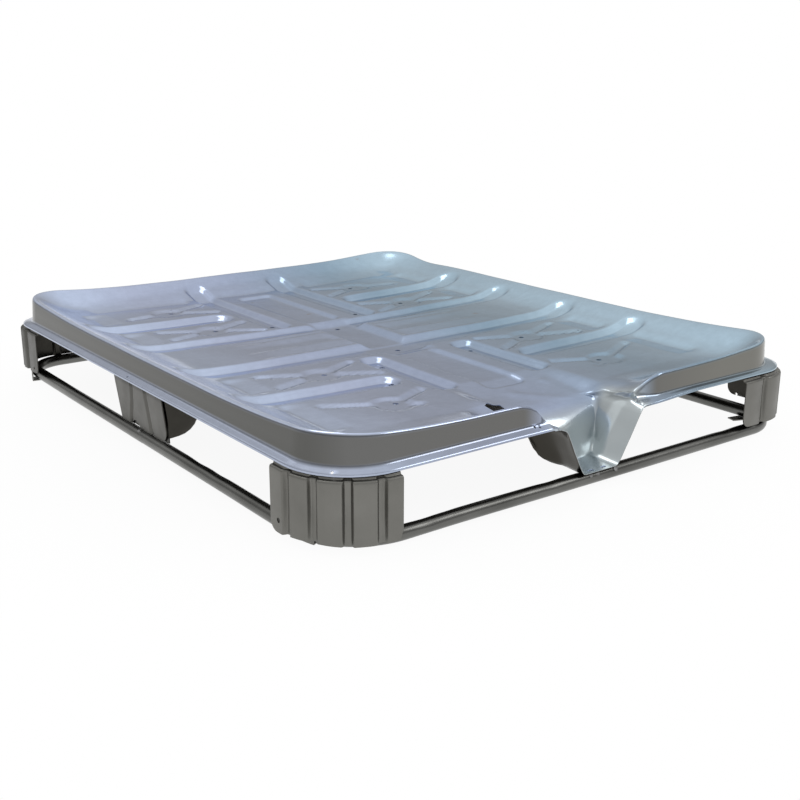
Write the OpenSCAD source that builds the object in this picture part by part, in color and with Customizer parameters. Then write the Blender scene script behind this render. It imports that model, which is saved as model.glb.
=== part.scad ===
// Pressed steel pallet for a 1200 x 1000 mm liquid container.
// A deep-drawn deck sheet stands on corrugated corner feet and folded middle feet,
// which a bent tube joins into a skid ring. X runs along the spout side, Y to the back.

/* [Footprint] */
// Width over the feet, along the spout side
pallet_w = 1000; // [900:1:1200]
// Depth over the feet, from the spout side to the back
pallet_d = 1200; // [1100:1:1400]
// Height of the deck's flange above the floor
flange_z = 114; // [100:1:135]
// How far the deck's flange stays inside the feet
flange_inset = 4; // [3:0.5:6]

/* [Deck sheet] */
// Thickness of the deck's sheet
sheet_t = 1.2; // [1:0.1:1.6]
// Height of the floor above the floor it stands on, at the middle
floor_z = 121; // [117:1:126]
// How much higher the floor is at its long edges
floor_rise = 8; // [4:1:12]
// Width of the floor inside the rim
floor_w = 720; // [680:2:760]
// Distance from the middle to the back edge of the floor
floor_back = 492; // [480:1:500]
// Distance from the middle to the front edge of the floor
floor_front = 472; // [465:1:478]
// Height of the rim at the middle of a side
rim_z = 156; // [148:1:166]
// How much higher the rim is at the corners
rim_corner_rise = 19; // [0:1:24]
// How much the flange falls from the wall to its edge
flange_fall = 6.5; // [3:0.5:8]
// Depth of the flange's turned-down lip
lip_h = 4; // [3:0.5:7]

/* [Channels] */
// Depth of the crossing channels
channel_depth = 10; // [6:0.5:12]
// Depth of the two channels each side of the middle panel
long_channel_depth = 9; // [5:0.5:11]
// Depth of the flat middle panel
panel_depth = 5; // [3:0.5:7]
// Depth of the saw-tooth grooves in the middle
groove_h = 2.5; // [1.5:0.5:4]
// Distance of the long channels from the middle
long_channel_x = 103.5; // [100:0.5:107]
// Middle of the crossing channel behind the centre
back_cross_y = 123; // [122:0.5:125]
// Middle of the crossing channel in front of the centre
front_cross_y = -75; // [-77:1:-74]
// Middle of the wide channels in the back half
back_wide_y = 302.5; // [296:0.5:308]
// Middle of the wide channels in the front half
front_wide_y = -269; // [-275:1:-262]
// Depth of the embossed crosses
emboss_h = 3; // [2:0.5:5]
// Width of a leg of an embossed cross
emboss_leg_w = 18; // [14:1:22]
// Diameter of the fixing holes in the deck
hole_d = 9; // [6:0.5:12]

/* [Drain trough] */
// Middle of the trough, from the middle of the spout side
trough_x = 8; // [0:1:12]
// Distance from the middle to the trough's back wall
trough_back_y = 499; // [495:1:505]
// Half width of the trough's floor at its back wall
trough_back_w = 76; // [70:1:80]
// Half width of the tongue on the skid ring
tongue_w = 38; // [30:1:44]

/* [Skid ring] */
// Diameter of the ring's tube
tube_d = 24; // [20:1:28]
// Wall of the ring's tube
tube_wall = 2; // [1.5:0.1:3]
// Bend radius of the ring at its middle line
ring_bend_r = 115; // [100:1:130]
// How far the ring stays inside the feet
ring_inset = 9; // [8.5:0.5:11]

/* [Feet] */
// Sheet of the feet
foot_t = 2; // [1.5:0.1:2.5]
// Length of a corner foot's side wing
side_wing = 145; // [138:1:160]
// Length of a corner foot's long end wing
long_wing = 146; // [138:1:160]
// Length of a corner foot's short end wing
short_wing = 122; // [122:1:134]
// Outer radius of a corner foot
foot_r = 118; // [114:1:121]
// Height of a corner foot's lower edge above the floor
foot_bottom_z = 9; // [6:0.5:12]
// Gap seen between a corner foot's edge and the deck's lip
foot_gap = 4; // [2:0.5:6]
// Width of a groove in a corner foot, as an angle
groove_angle = 7.6; // [6:0.2:9]
// Width of a middle foot at its top
mid_foot_w = 188; // [160:2:200]
// Width of a middle foot at its bottom
mid_foot_base_w = 180; // [150:2:186]
// How far a middle foot's cup reaches inwards
cup_depth = 46; // [40:1:60]
// Radius of the cup's rounded corners
cup_r = 20; // [14:1:24]

/* [Hidden] */

steel = [0.66, 0.70, 0.76];
dull_steel = [0.50, 0.50, 0.48];
tube_steel = [0.60, 0.61, 0.62];
weld_steel = [0.74, 0.75, 0.76];

strap_t = 2;
tube_z = strap_t + tube_d / 2;
tube_top_z = strap_t + tube_d;
ring_x = pallet_w / 2 - ring_inset - tube_d / 2;
ring_y = pallet_d / 2 - (ring_inset - 4) - tube_d / 2;

deck_x = pallet_w / 2 - flange_inset;
deck_y = pallet_d / 2 - flange_inset - 2;

// Small helpers
function clamp(v) = max(0, min(1, v));
function ramp(v, from, to) = clamp((v - from) / (to - from));
function mix(a, b, t) = a + (b - a) * t;
function ridge(d, top, base) = 1 - ramp(abs(d), top, base);
function sorted(v) = len(v) <= 1 ? v : let (
    pivot = v[floor(len(v) / 2)],
    low = [for (a = v) if (a < pivot - 0.5) a],
    high = [for (a = v) if (a > pivot + 0.5) a]
) concat(sorted(low), [pivot], sorted(high));

// Crossing channels: [middle in Y, first X, half of the bottom, half at the edges, depth]
cross_channels = [
    [back_cross_y, -1, 17, 31, channel_depth - 2],
    [front_cross_y, -1, 19, 35, channel_depth],
    [back_wide_y, 148, 20, 34, channel_depth + 1],
    [front_wide_y, 148, 17, 31, channel_depth],
];
// Channels along Y: [middle in X, first Y, last Y, half of the bottom, half at the edges, depth]
back_channel_y = back_cross_y + 41;
front_channel_y = front_cross_y - 57;
ramp_y = -floor_front + 122;
far = 2000;
long_channels = [
    [long_channel_x, back_channel_y, far, 14.5, 27.5, long_channel_depth],
    [long_channel_x, ramp_y - 6, front_channel_y, 14.5, 27.5, long_channel_depth],
    [0, back_channel_y + 14, floor_back - 30, 34, 44, panel_depth],
    [0, ramp_y - 42, front_cross_y - 12, 34, 44, panel_depth],
];
// Saw-tooth grooves between the crossing channels: [far edge, its foot, foot of the near edge, near edge]
grooves = [
    [back_cross_y - 17, back_cross_y - 33, back_cross_y - 39, back_cross_y - 43],
    [74, 45, 18, 12],
    [8, front_cross_y + 55, front_cross_y + 49, front_cross_y + 45],
];
groove_in = 60;
groove_full = 76;
groove_out = 275;
end_slope = 7;

// The lines of the pressing that its edges and creases follow
x_half = sorted([
    for (r = long_channels) for (s = [-1, 1]) for (w = [r[3], r[4]])
        if (r[0] + s * w > 1) r[0] + s * w,
    groove_in, groove_out, cross_channels[2][1] - end_slope, cross_channels[2][1] + end_slope, floor_w / 2
]);
x_lines = concat([for (i = [len(x_half) - 1:-1:0]) -x_half[i]], [0], x_half);
y_lines = sorted([
    -floor_front, -floor_front + 42, floor_back,
    for (r = cross_channels) for (s = [-1, 1]) for (w = [r[2], r[3]]) r[0] + s * w,
    for (r = long_channels) for (y = [r[1], r[2]]) for (s = [-1, 1])
        if (y < floor_back - 10) y + s * end_slope,
    for (g = grooves) for (y = g) y
]);
nx = len(x_lines);
ny = len(y_lines);

// Depth of every channel at a point, below the floor
function cross_depth(x, y) = max([
    for (r = cross_channels) r[4] * ridge(y - r[0], r[2], r[3])
        * (r[1] < 0 ? 1 : ramp(abs(x), r[1] - end_slope, r[1] + end_slope))
]);
function long_depth(x, y) = max([
    for (r = long_channels) r[5] * ridge(abs(x) - r[0], r[3], r[4])
        * ramp(y, r[1] - end_slope, r[1] + end_slope)
        * (1 - ramp(y, r[2] - end_slope, r[2] + end_slope))
]);
function groove_depth(x, y) = groove_h
    * ramp(abs(x), groove_in, groove_full) * (1 - ramp(abs(x), groove_full, groove_out))
    * max([for (g = grooves) min(1 - ramp(y, g[1], g[0]), ramp(y, g[3], g[2]))]);
function pressed_depth(x, y) = max(cross_depth(x, y), long_depth(x, y), groove_depth(x, y));
function dish(x) = floor_rise * min(1, abs(x) / (floor_w / 2));
trough_fall = 14;
function floor_height(x, y) = floor_z + dish(x) - pressed_depth(x, y)
    - trough_fall * ramp(-y, -ramp_y, floor_front) * (1 - ramp(abs(x), 90, 118));

// The rim, from the floor outwards: [inset on long sides, inset on ends, height, corner radius, channel share]
rings = [
    [104, 76, floor_z + 10, 26, 1],
    [71, 52, mix(floor_z, rim_z, 0.5), 44, 0.75],
    [43, 31, mix(floor_z, rim_z, 0.8), 64, 0.35],
    [26, 21, rim_z - 1.5, 78, 0],
    [20, 17, rim_z, 84, 0],
    [15.5, 14, rim_z - 3, 88, 0],
    [11.5, 11.5, flange_z + flange_fall + 3, 91, 0],
    [10, 10, flange_z + flange_fall, 92.5, 0],
    [0, 0, flange_z, 110, 0],
    [0, 0, flange_z - lip_h, 110, 0],
];
nr = len(rings);
crest_rings = 6;
arc_steps = 6;

// Stations round the rim: [x line, y line, corner angle or -1, side]
stations = concat(
    [for (i = [0:nx - 1]) [i, 0, -1, 0]],
    [for (s = [1:arc_steps - 1]) [nx - 1, 0, 270 + 90 * s / arc_steps, 4]],
    [for (j = [0:ny - 1]) [nx - 1, j, -1, 1]],
    [for (s = [1:arc_steps - 1]) [nx - 1, ny - 1, 90 * s / arc_steps, 4]],
    [for (i = [nx - 1:-1:0]) [i, ny - 1, -1, 2]],
    [for (s = [1:arc_steps - 1]) [0, ny - 1, 90 + 90 * s / arc_steps, 4]],
    [for (j = [ny - 1:-1:0]) [0, j, -1, 3]],
    [for (s = [1:arc_steps - 1]) [0, 0, 180 + 90 * s / arc_steps, 4]]
);
ns = len(stations);

function edge_or_line(v, lines, limit) = abs(v) >= abs(lines[len(lines) - 1]) - 0.01 || v <= lines[0] + 0.01
    ? sign(v) * limit : v;
function ring_xy(st, r) = let (
    a = deck_x - rings[r][0],
    b = deck_y - rings[r][1],
    c = rings[r][3],
    x = edge_or_line(x_lines[st[0]], x_lines, a - c),
    y = edge_or_line(y_lines[st[1]], y_lines, b - c)
) st[3] == 0 ? [x, -b]
    : st[3] == 1 ? [a, y]
    : st[3] == 2 ? [x, b]
    : st[3] == 3 ? [-a, y]
    : [sign(x) * (a - c) + c * cos(st[2]), sign(y) * (b - c) + c * sin(st[2])];

// The trough: places of its rings and how wide it is at each
trough_y = [-11, -2, 2, 5, 13, 36, 61, 81, deck_y - trough_back_y, deck_y - trough_back_y + 2];
tongue_z = tube_top_z + sheet_t;
trough_z = [
    floor_z - trough_fall, floor_z - trough_fall - 6, mix(tongue_z, floor_z, 0.45), tongue_z + 7,
    tongue_z + 3, tongue_z + 2, tongue_z + 0.5, tongue_z, tongue_z, tongue_z
];
trough_narrow = [0, 0, 0, 0, 0.03, 0.32, 0.63, 0.84, 1, 1];
// Columns of the front edge: where a line of the pressing goes to beside the trough
function column_x(w, r) = let (
    low = mix(trough_back_w, tongue_w, trough_narrow[r]),
    high = mix(trough_back_w + 10, tongue_w + 35, trough_narrow[r])
) lookup(w, [[0, 0], [44, low], [60, mix(low, high, 0.5)], [76, high],
    [89, mix(high, 106, 0.55)], [118, 106], [131, 123], [141, 136], [155, 153], [275, 275]]);
function column_z(w, r) = let (
    shoulder = flange_z - 9
) lookup(w, [[0, trough_z[r]], [44, trough_z[r]], [60, mix(trough_z[r], shoulder, 0.5)], [76, shoulder],
    [89, flange_z - 3], [118, flange_z]]);
function crest_share(w) = lookup(w, [[118, 0], [131, 0.68], [141, 0.93], [155, 1]]);

function corner_rise(p, r) = rim_corner_rise * pow(abs(p[0] * p[1]) / (deck_x * deck_y) * 1.07, 4)
    * [0.1, 0.3, 0.75, 1, 1, 1, 0, 0, 0, 0][r];
function plain_rim(st, r) = let (
    p = ring_xy(st, r)
) [p[0], p[1], rings[r][2] + corner_rise(p, r) - rings[r][4] * pressed_depth(p[0], p[1])];

function front_rim(st, r) = let (
    w = abs(x_lines[st[0]]),
    plain = plain_rim(st, r),
    side = x_lines[st[0]] < 0 ? -1 : 1,
    shift = trough_x * (1 - ramp(w, 118, 155)),
    x = side * column_x(w, r) + shift,
    inside = 1 - ramp(w, 76, 118),
    lowered = r < crest_rings ? mix(flange_z, plain[2], crest_share(w)) : plain[2],
    y = mix(plain[1], -trough_back_y - trough_y[r], inside),
    lip = r == nr - 1 ? lip_h * (1 - inside) : 0
) w > 155.5 ? plain
    : w >= 117.5 ? [x, plain[1], lowered]
    : [x, y, column_z(w, r) - lip];
function rim_point(st, r) = st[3] == 0 ? front_rim(st, r) : plain_rim(st, r);

// Upper side of the sheet: the floor's grid and then the rim's rings
grid_top = [for (j = [0:ny - 1]) for (i = [0:nx - 1])
    [x_lines[i], y_lines[j], floor_height(x_lines[i], y_lines[j])]];
rim_top = [for (r = [0:nr - 1]) [for (st = stations) rim_point(st, r)]];
function grid_at(st) = grid_top[st[1] * nx + st[0]];
function rim_at(s, r) = r < 0 ? grid_at(stations[s]) : rim_top[min(r, nr - 1)][s];
function rim_normal(s, r) = let (
    along = rim_at((s + 1) % ns, r) - rim_at((s + ns - 1) % ns, r),
    out = rim_at(s, r + 1) - rim_at(s, r - 1),
    n = cross(out, along)
) n / norm(n);
// Lower side: straight down under the floor, square to the sheet in the rim
grid_low = [for (p = grid_top) p - [0, 0, sheet_t]];
rim_low = [for (r = [0:nr - 1]) [for (s = [0:ns - 1]) rim_top[r][s] - sheet_t * rim_normal(s, r)]];

function flat(rows) = [for (row = rows) for (p = row) p];
deck_points = concat(grid_top, flat(rim_top), grid_low, flat(rim_low));
low_start = nx * ny + nr * ns;
function point_index(s, r) = let (
    st = stations[s % ns]
) r < 0 ? st[1] * nx + st[0] : nx * ny + r * ns + s % ns;
function turned(face, below) = below
    ? [for (i = [len(face) - 1:-1:0]) face[i] + low_start] : face;
function two_triangles(a, b, c, d) = concat(a == b ? [] : [[a, b, c]], c == d ? [] : [[a, c, d]]);
side_faces = [for (j = [0:ny - 2]) for (i = [0:nx - 2]) let (
    a = j * nx + i
) for (f = two_triangles(a, a + nx, a + nx + 1, a + 1)) f];
rim_faces = [for (r = [-1:nr - 2]) for (s = [0:ns - 1])
    for (f = two_triangles(point_index(s, r), point_index(s + 1, r),
        point_index(s + 1, r + 1), point_index(s, r + 1))) f];
top_faces = concat(side_faces, rim_faces);
edge_faces = [for (s = [0:ns - 1]) let (
    a = point_index(s, nr - 1),
    b = point_index(s + 1, nr - 1)
) for (f = two_triangles(a, b, b + low_start, a + low_start)) f];
deck_faces = concat(
    [for (f = top_faces) f],
    [for (f = top_faces) turned(f, true)],
    edge_faces
);

module deck_sheet() {
    polyhedron(points = deck_points, faces = deck_faces, convexity = 8);
}

// Crosses pressed into the left side; the right side mirrors them
// [middle in Y, leg ends as offsets from the middle]
crosses = [
    [206.5, [[-104, 43], [98, 47], [-104, -35], [100, -42]]],
    [400.5, [[-100, -22], [98, 45], [102, -44]]],
    [-180.5, [[-106, 46], [98, 50], [-110, -38], [102, -46]]],
    [-383.5, [[-111, 50], [96, 46], [46, -26]]],
];
cross_x = 236;
hub_r = 34;
dish_angle = atan(floor_rise / (floor_w / 2));

module leg(end, grow) {
    w = emboss_leg_w + 2 * grow;
    tip = norm(end) - emboss_leg_w / 2;
    rotate(atan2(end[1], end[0])) {
        translate([0, -w / 2]) square([tip, w]);
        translate([tip, 0]) circle(d = w, $fn = 16);
    }
}
module cross_outline(c, grow) {
    translate([-cross_x, c[0]]) {
        circle(r = hub_r + grow, $fn = 32);
        for (end = c[1]) leg(end, grow);
    }
}
module on_left_floor() {
    translate([0, 0, floor_z]) rotate([0, dish_angle, 0]) children();
}
module crosses_solid(grow, from, to) {
    for (side = [0, 1]) mirror([side, 0, 0]) on_left_floor()
        for (c = crosses) translate([0, 0, from]) linear_extrude(to - from) cross_outline(c, grow);
}

hub_holes = [for (c = crosses) for (s = [-1, 1]) [s * (cross_x - 10), c[0] + 6.5]];
middle_holes = [
    for (s = [-1, 1]) [s * (long_channel_x - 2), back_channel_y + 43],
    for (s = [-1, 1]) [s * (long_channel_x - 2), front_channel_y - 38],
    [0, back_cross_y - 1], [0, front_cross_y - 5], [-155, front_wide_y],
];
flange_holes = [[-126, -584], [-117, -586], [-491, 29], [-464, -557]];
window = [[-127, -472], [-99, -454], [-79, -455], [-83, -486], [-118, -488]];

module drilled(at, d) {
    translate([at[0], at[1], floor_z - 60]) cylinder(d = d, h = 120, $fn = 24);
}

module deck() {
    color(steel) difference() {
        union() {
            deck_sheet();
            crosses_solid(0, -emboss_h - sheet_t, -sheet_t / 2);
        }
        crosses_solid(-sheet_t, -emboss_h, 2);
        for (h = hub_holes) drilled(h, hole_d);
        for (h = middle_holes) drilled(h, hole_d);
        for (h = flange_holes) translate([h[0], h[1], flange_z - 6]) cylinder(d = 4.5, h = 13, $fn = 24);
        translate([0, 0, floor_z - 40]) linear_extrude(80) polygon(window);
        translate([-67, -501, floor_z - 40]) cylinder(d = 9, h = 80, $fn = 24);
        for (dx = [-14, 14]) translate([trough_x + dx, -588, tongue_z - 5]) cylinder(d = 5, h = 10, $fn = 24);
    }
}

// A tube bent into a ring, with the bends at its corners
module ring_bar(d) {
    straight_x = ring_x - ring_bend_r;
    straight_y = ring_y - ring_bend_r;
    for (s = [-1, 1]) {
        translate([-straight_x, s * ring_y, tube_z]) rotate([0, 90, 0])
            cylinder(d = d, h = 2 * straight_x, $fn = 48);
        translate([s * ring_x, straight_y, tube_z]) rotate([90, 0, 0])
            cylinder(d = d, h = 2 * straight_y, $fn = 48);
    }
    for (q = [[1, 1, 0], [-1, 1, 90], [-1, -1, 180], [1, -1, 270]])
        translate([q[0] * straight_x, q[1] * straight_y, tube_z]) rotate(q[2])
            rotate_extrude(angle = 90, $fn = 96) translate([ring_bend_r, 0]) circle(d = d, $fn = 48);
}
module skid_ring() {
    color(tube_steel) difference() {
        ring_bar(tube_d);
        ring_bar(tube_d - 2 * tube_wall);
    }
}

// Corner foot: an arc of sheet with pressed grooves, a straight wing at each end
shelf_z = flange_z - lip_h;
foot_top_z = shelf_z - foot_gap;
groove_at = [6, 28.5, 53, 76.5];
groove_r = foot_r - 7.9;
groove_half = groove_angle / 2;
groove_slope = 1.4;
function foot_radius(a) = lookup(a, [for (g = groove_at) each [
    [g - groove_half, foot_r], [g - groove_half + groove_slope, groove_r],
    [g + groove_half - groove_slope, groove_r], [g + groove_half, foot_r]]]);
foot_angles = sorted([
    for (g = groove_at) for (s = [-1, 1]) each [g + s * groove_half, g + s * (groove_half - groove_slope)],
    for (i = [0:20]) i * 4.5
]);
function foot_path(inset, side_end, long_end) = concat(
    [[foot_r - inset, -side_end]],
    [for (a = foot_angles) (foot_radius(a) - inset) * [cos(a), sin(a)]],
    [[-long_end, foot_r - inset]]
);
function reversed(v) = [for (i = [len(v) - 1:-1:0]) v[i]];

module foot_band(outer, inner, side_end, long_end) {
    polygon(concat(foot_path(outer, side_end, long_end), reversed(foot_path(inner, side_end, long_end))));
}
module lower_corner(r) {
    difference() {
        translate([-1, -20, -1]) cube([r + 1, 40, r + 1]);
        translate([r, 0, r]) rotate([90, 0, 0]) cylinder(r = r, h = 60, center = true, $fn = 48);
    }
}
module foot_shell(end_wing) {
    side_end = side_wing - foot_r;
    long_end = end_wing - foot_r;
    difference() {
        union() {
            translate([0, 0, foot_bottom_z]) linear_extrude(foot_top_z - foot_bottom_z)
                foot_band(0, foot_t, side_end, long_end);
            // Rolled edge, then a step up to the shelf that carries the lip
            translate([0, 0, foot_top_z - 1]) linear_extrude(foot_t)
                foot_band(1, 5, side_end, long_end);
            translate([0, 0, foot_top_z - 1]) linear_extrude(shelf_z - foot_top_z + 1)
                foot_band(3, 3 + foot_t, side_end, long_end);
            translate([0, 0, shelf_z - foot_t]) linear_extrude(foot_t)
                foot_band(3, 15, side_end, long_end);
        }
        // Grooves end above the tube, wings end in rounded corners
        translate([0, 0, foot_bottom_z - 1]) intersection() {
            cylinder(r = foot_r - 4, h = 10, $fn = 72);
            cube([300, 300, 30]);
        }
        translate([foot_r - 5, -side_end, foot_bottom_z]) rotate([0, 0, 90]) lower_corner(16);
        translate([-long_end, foot_r - 5, foot_bottom_z]) lower_corner(16);
        // Fixing hole in the side wing
        translate([foot_r - 20, -6, 30]) rotate([0, 90, 0]) cylinder(d = 8, h = 40, $fn = 24);
    }
}
module at_corner(sx, sy) {
    mirror([sx < 0 ? 1 : 0, 0, 0]) mirror([0, sy < 0 ? 1 : 0, 0])
        translate([pallet_w / 2 - foot_r, pallet_d / 2 - foot_r, 0]) children();
}
module corner_foot(sx, sy, end_wing) {
    color(dull_steel) at_corner(sx, sy) foot_shell(end_wing);
}
// Strap under the tube, turned up inside the foot
module foot_strap(sx, sy) {
    leg_r = foot_r - foot_t - 0.1;
    color(dull_steel) at_corner(sx, sy) rotate(10.5) rotate_extrude(angle = 13.5, $fn = 96) polygon([
        [72, 0], [leg_r, 0], [leg_r, 26], [leg_r - strap_t, 26], [leg_r - strap_t, strap_t], [72, strap_t]
    ]);
}

// Middle feet stand on the tube under the flange
side_lean = 6.5;
back_lean = 2.5;
cup_lift = 9;
mid_top_z = flange_z + flange_fall * 0.58 - sheet_t * 1.3;
module mid_outline() {
    h = mid_foot_w / 2;
    g = mid_foot_w / 6;
    polygon([
        [0, -h], [0, -g - 5], [-5, -g - 3], [-5, -g + 2], [0, -g + 5],
        [0, g - 5], [-5, g - 2], [-5, g + 3], [0, g + 5], [0, h],
        [-foot_t, h], [-foot_t, g + 6], [-5 - foot_t, g + 4], [-5 - foot_t, g - 3], [-foot_t, g - 6],
        [-foot_t, -g + 6], [-5 - foot_t, -g + 3], [-5 - foot_t, -g - 4], [-foot_t, -g - 6], [-foot_t, -h]
    ]);
}
module mid_foot_shape(axis_out, lean) {
    difference() {
        intersection() {
            translate([axis_out + 1, 0, tube_top_z]) rotate([0, lean, 0])
                translate([0, 0, -20]) linear_extrude(140) mid_outline();
            translate([axis_out - 40, -150, tube_top_z]) cube([80, 300, mid_top_z - tube_top_z]);
            translate([axis_out - 50, 0, 0]) rotate([90, 0, 90]) linear_extrude(100) polygon([
                [mid_foot_w / 2, 130], [mid_foot_w / 2 - 4, 50], [mid_foot_base_w / 2 - 26, tube_top_z - 1],
                [-mid_foot_base_w / 2, tube_top_z - 1], [-mid_foot_w / 2, 130]
            ]);
        }
        translate([axis_out - 40, -32, tube_top_z - 7]) rotate([0, 90, 0]) cylinder(r = 18, h = 80, $fn = 48);
    }
}
module cup_block(depth, half_w, r, h) {
    intersection() {
        rotate([90, 0, 0]) linear_extrude(2 * half_w, center = true) {
            translate([-depth, r]) square([depth, h - r]);
            translate([-depth + r, 0]) square([depth - 2 * r, r]);
            translate([-depth + r, r]) circle(r = r, $fn = 60);
            translate([-r, r]) circle(r = r, $fn = 60);
        }
        rotate([90, 0, 90]) linear_extrude(2 * depth, center = true) {
            translate([-half_w, r]) square([2 * half_w, h - r]);
            translate([-half_w + r, 0]) square([2 * half_w - 2 * r, r]);
            for (s = [-1, 1]) translate([s * (half_w - r), r]) circle(r = r, $fn = 60);
        }
    }
}
module foot_cup_shape(axis_out, lean) {
    h = mid_top_z - 42;
    translate([axis_out + 1, 0, tube_top_z]) rotate([0, lean, 0])
        translate([-5 - foot_t - 0.02, 0, cup_lift]) difference() {
            cup_block(cup_depth, mid_foot_w / 2 - 8, cup_r, h);
            translate([-foot_t, 0, foot_t])
                cup_block(cup_depth - 2 * foot_t, mid_foot_w / 2 - 8 - foot_t, cup_r - foot_t, h);
        }
}
module mid_foot(turn, axis_out, lean) {
    color(dull_steel) rotate(turn) mid_foot_shape(axis_out, lean);
}
module foot_cup(turn, axis_out, lean) {
    color(dull_steel) rotate(turn) foot_cup_shape(axis_out, lean);
}

// Weld beads on the tube, under the tongue's edge and in front of the middle feet
module bead(at, r) {
    color(weld_steel) difference() {
        translate(at) sphere(r = r, $fn = 20);
        ring_bar(tube_d);
    }
}
module tongue_weld(dx, r) {
    bead([trough_x + dx, -ring_y - 9, tube_top_z - r], r);
}
module mid_foot_weld(x, y) {
    bead([x, y, tube_top_z - 1.5], 4.5);
}
weld_out = 5.6;

deck();
skid_ring();
corner_foot(-1, -1, short_wing);  // corner_foot_front_left
corner_foot(1, -1, long_wing);  // corner_foot_front_right
corner_foot(-1, 1, long_wing);  // corner_foot_back_left
corner_foot(1, 1, long_wing);  // corner_foot_back_right
foot_strap(-1, -1);  // foot_strap_front_left
foot_strap(1, -1);  // foot_strap_front_right
foot_strap(-1, 1);  // foot_strap_back_left
foot_strap(1, 1);  // foot_strap_back_right
mid_foot(180, ring_x, side_lean);  // mid_foot_left
mid_foot(0, ring_x, side_lean);  // mid_foot_right
mid_foot(90, ring_y, back_lean);  // mid_foot_back
foot_cup(180, ring_x, side_lean);  // foot_cup_left
foot_cup(0, ring_x, side_lean);  // foot_cup_right
foot_cup(90, ring_y, back_lean);  // foot_cup_back
tongue_weld(-18, 4.5);  // tongue_weld_left
tongue_weld(-3, 4.5);  // tongue_weld_middle
tongue_weld(tongue_w - 1, 5.5);  // tongue_weld_right
mid_foot_weld(-ring_x - weld_out, 12);  // mid_foot_weld_left
mid_foot_weld(ring_x + weld_out, -12);  // mid_foot_weld_right
mid_foot_weld(12, ring_y + weld_out);  // mid_foot_weld_back
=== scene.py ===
# %% [markdown]
# A pressed steel pallet that carries a 1000 litre liquid container. One big sheet is drawn into a
# channelled tray with a drain trough, and stands on corrugated sheet feet that a bent tube ties together.
# Each cell below makes one piece over them, in metres.

# %% Load the measured solids
import math
import bpy
import numpy as np
from mathutils import Matrix, Vector


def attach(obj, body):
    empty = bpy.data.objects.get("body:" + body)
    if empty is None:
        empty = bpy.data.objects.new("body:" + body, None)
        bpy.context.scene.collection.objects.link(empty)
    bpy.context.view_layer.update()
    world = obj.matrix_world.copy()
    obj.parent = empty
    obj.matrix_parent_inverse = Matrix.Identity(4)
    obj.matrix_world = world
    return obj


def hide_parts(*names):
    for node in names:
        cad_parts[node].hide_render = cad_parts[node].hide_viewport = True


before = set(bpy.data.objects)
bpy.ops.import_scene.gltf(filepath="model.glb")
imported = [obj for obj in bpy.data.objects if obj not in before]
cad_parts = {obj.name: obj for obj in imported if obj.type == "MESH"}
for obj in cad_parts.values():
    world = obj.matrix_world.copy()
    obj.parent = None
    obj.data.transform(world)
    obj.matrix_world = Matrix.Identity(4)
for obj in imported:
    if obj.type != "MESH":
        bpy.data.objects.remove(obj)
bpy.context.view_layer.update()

print("solids loaded:", sorted(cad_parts))

# %% [markdown]
# Sheet metal is drawn in millimetres here, because that is how the pressing was measured. Every mesh is
# made from plain arrays of points and faces, then turned to metres in one place.

# %% A helper that makes a mesh piece from arrays
MM = 0.001


def mesh_piece(name, points, faces, smooth_angle=None):
    """Points in mm, faces as index tuples; -1 in a quad's last place marks a triangle."""
    mesh = bpy.data.meshes.new(name)
    quads = [tuple(int(i) for i in f if i >= 0) for f in faces]
    mesh.from_pydata((np.asarray(points, float) * MM).tolist(), [], quads)
    mesh.validate()
    piece = bpy.data.objects.new(name, mesh)
    bpy.context.collection.objects.link(piece)
    mesh.shade_smooth()
    if smooth_angle is not None:
        mesh.set_sharp_from_angle(angle=math.radians(smooth_angle))
    return piece


def soft(v, lo, hi):
    t = np.clip((v - lo) / (hi - lo), 0, 1)
    return t * t * (3 - 2 * t)


def mix(a, b, t):
    return a + (b - a) * t


def cut(piece, cutter, operation="DIFFERENCE", smooth_angle=55):
    """Takes the cutter's shape out of the piece, or adds it, and removes the cutter."""
    boolean = piece.modifiers.new("cut", "BOOLEAN")
    boolean.operation, boolean.solver, boolean.object = operation, "MANIFOLD", cutter
    baked = bpy.data.meshes.new_from_object(piece.evaluated_get(bpy.context.evaluated_depsgraph_get()))
    piece.modifiers.clear()
    baked.set_sharp_from_angle(angle=math.radians(smooth_angle))
    old, piece.data = piece.data, baked
    bpy.data.meshes.remove(old)
    bpy.data.objects.remove(cutter)


def drill(name, places):
    """Straight drills as one cutter: each has a middle in mm, a direction, a diameter and a length."""
    points, faces, n = [], [], 20
    for at, axis, diameter, length in places:
        turn = Vector(axis).to_track_quat("Z", "Y").to_matrix()
        start = len(points)
        for end in (-0.5, 0.5):
            for k in range(n):
                a = 2 * math.pi * k / n
                p = turn @ Vector((diameter / 2 * math.cos(a), diameter / 2 * math.sin(a), end * length))
                points.append(Vector(at) + p)
        faces.append(tuple(start + k for k in range(n - 1, -1, -1)))
        faces.append(tuple(start + n + k for k in range(n)))
        faces += [(start + k, start + (k + 1) % n, start + n + (k + 1) % n, start + n + k) for k in range(n)]
    return mesh_piece(name, points, faces)


print("one unit of the arrays is", MM, "m")

# %% [markdown]
# The floor of the tray is stiffened by channels, pressed down into the sheet, and they also lead water
# to the drain trough. Each channel is a rounded box in plan with soft walls. The distance to the box's
# outline tells how deep the sheet lies, so one formula draws every channel and its round ends.

# %% Channels of the deck
FLOOR_Z, DISH = 121.0, 8.0
FLOOR_X, FLOOR_BACK, FLOOR_FRONT = 360.0, 492.0, 472.0
BACK_CROSS_Y, FRONT_CROSS_Y = 123, -75
CENTRE_DEPTH = 9.0
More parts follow.
